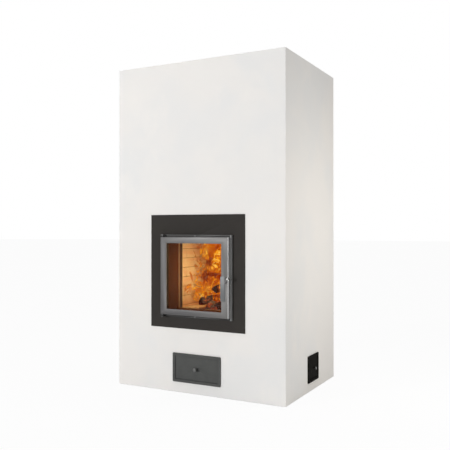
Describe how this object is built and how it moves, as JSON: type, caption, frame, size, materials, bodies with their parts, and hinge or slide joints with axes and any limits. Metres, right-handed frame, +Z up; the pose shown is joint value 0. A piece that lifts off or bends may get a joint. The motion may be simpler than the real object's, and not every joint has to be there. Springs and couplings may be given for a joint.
{
  "type": "masonry heater",
  "caption": "Plastered heat-retaining fireplace with a firebrick core, a glazed fire door on hinges, a sliding ash drawer and lift-off soot hatches.",
  "frame": {"origin": "middle of the plastered footprint, on the floor", "axes": "+X to the right seen from the front, +Y from the front to the back, +Z up"},
  "size_m": [1.042, 0.7767, 1.743],
  "materials": {
    "plaster": "matt white mineral plaster",
    "block": "rough grey building block",
    "concrete": "cast concrete slab",
    "refractory": "cast refractory slab",
    "firebrick": "pressed firebrick",
    "storage_stone": "dense heat-storing block",
    "felt": "ceramic fibre felt",
    "wool": "mineral wool",
    "black_steel": "matt black heat-proof paint",
    "grey_steel": "satin grey heat-proof paint",
    "cast_iron": "raw cast iron",
    "bright_steel": "polished steel",
    "zinc_steel": "zinc-plated steel",
    "sheet_steel": "bare sheet steel",
    "glass": "clear ceramic glass",
    "rope": "braided fibre rope"
  },
  "bodies": {
    "heater": {"ash_floor_slab": "refractory", "ash_frame": "black_steel", "base_slab": "concrete", "collar_seal": "felt", "core_back_wall": "refractory", "core_ceiling": "refractory", "core_front_wall": "refractory", "door_collar": "cast_iron", "door_frame": "grey_steel", "expansion_felt": "felt", "firebox_back_wall": "firebrick", "firebox_floor": "firebrick", "firebox_left_wall": "firebrick", "firebox_right_wall": "firebrick", "flue_block": "block", "flue_collar": "sheet_steel", "flue_seal": "felt", "frame_screws": "bright_steel", "hearth_piers": "refractory", "hearth_slab": "refractory", "hinge_pins": "bright_steel", "latch_keeper": "zinc_steel", "left_channel_liner": "refractory", "left_hatch_frame": "black_steel", "plaster_coat": "plaster", "right_channel_liner": "refractory", "right_hatch_frame": "black_steel", "shell_course_1": "block", "shell_course_2": "block", "shell_course_3": "block", "shell_course_4": "block", "shell_course_5": "block", "shell_course_6": "block", "shell_course_7": "block", "storage_blocks": "storage_stone", "surround_plate": "black_steel", "throat_slabs": "refractory", "top_insulation": "wool", "top_slab": "concrete", "upper_chamber_walls": "firebrick"},
    "door": {"door_leaf": "grey_steel", "door_glass": "glass", "glass_tape": "rope", "glass_retainers": "zinc_steel", "retainer_screws": "zinc_steel", "door_rope_seal": "rope", "latch_plate": "grey_steel"},
    "latch": {"latch_lever": "grey_steel", "latch_knob": "bright_steel"},
    "ash_drawer": {"ash_drawer_box": "sheet_steel", "ash_drawer_front": "black_steel", "ash_drawer_knob": "black_steel", "ash_drawer_nut": "zinc_steel"},
    "right_hatch": {"right_hatch_cover": "black_steel", "right_hatch_plug": "refractory", "right_hatch_knob": "black_steel"},
    "left_hatch": {"left_hatch_cover": "black_steel", "left_hatch_plug": "refractory", "left_hatch_knob": "black_steel"},
    "grate": {"grate": "cast_iron"}
  },
  "joints": [
    {"name": "door_hinge", "type": "hinge", "parent": "heater", "child": "door", "pos_m": [-0.193, -0.3895, 0.6155], "axis": [0, 0, -1], "range_deg": [0, 130]},
    {"name": "latch_turn", "type": "hinge", "parent": "door", "child": "latch", "pos_m": [0.191, -0.3984, 0.597], "axis": [0, -1, 0], "range_deg": [0, 75]},
    {"name": "ash_drawer_slide", "type": "slide", "parent": "heater", "child": "ash_drawer", "axis": [0, -1, 0], "range_m": [0, 0.3]},
    {"name": "right_hatch_pull", "type": "slide", "parent": "heater", "child": "right_hatch", "axis": [1, 0, 0], "range_m": [0, 0.15]},
    {"name": "left_hatch_pull", "type": "slide", "parent": "heater", "child": "left_hatch", "axis": [-1, 0, 0], "range_m": [0, 0.15]},
    {"name": "grate_lift", "type": "slide", "parent": "heater", "child": "grate", "axis": [0, 0, 1], "range_m": [0, 0.15]}
  ]
}
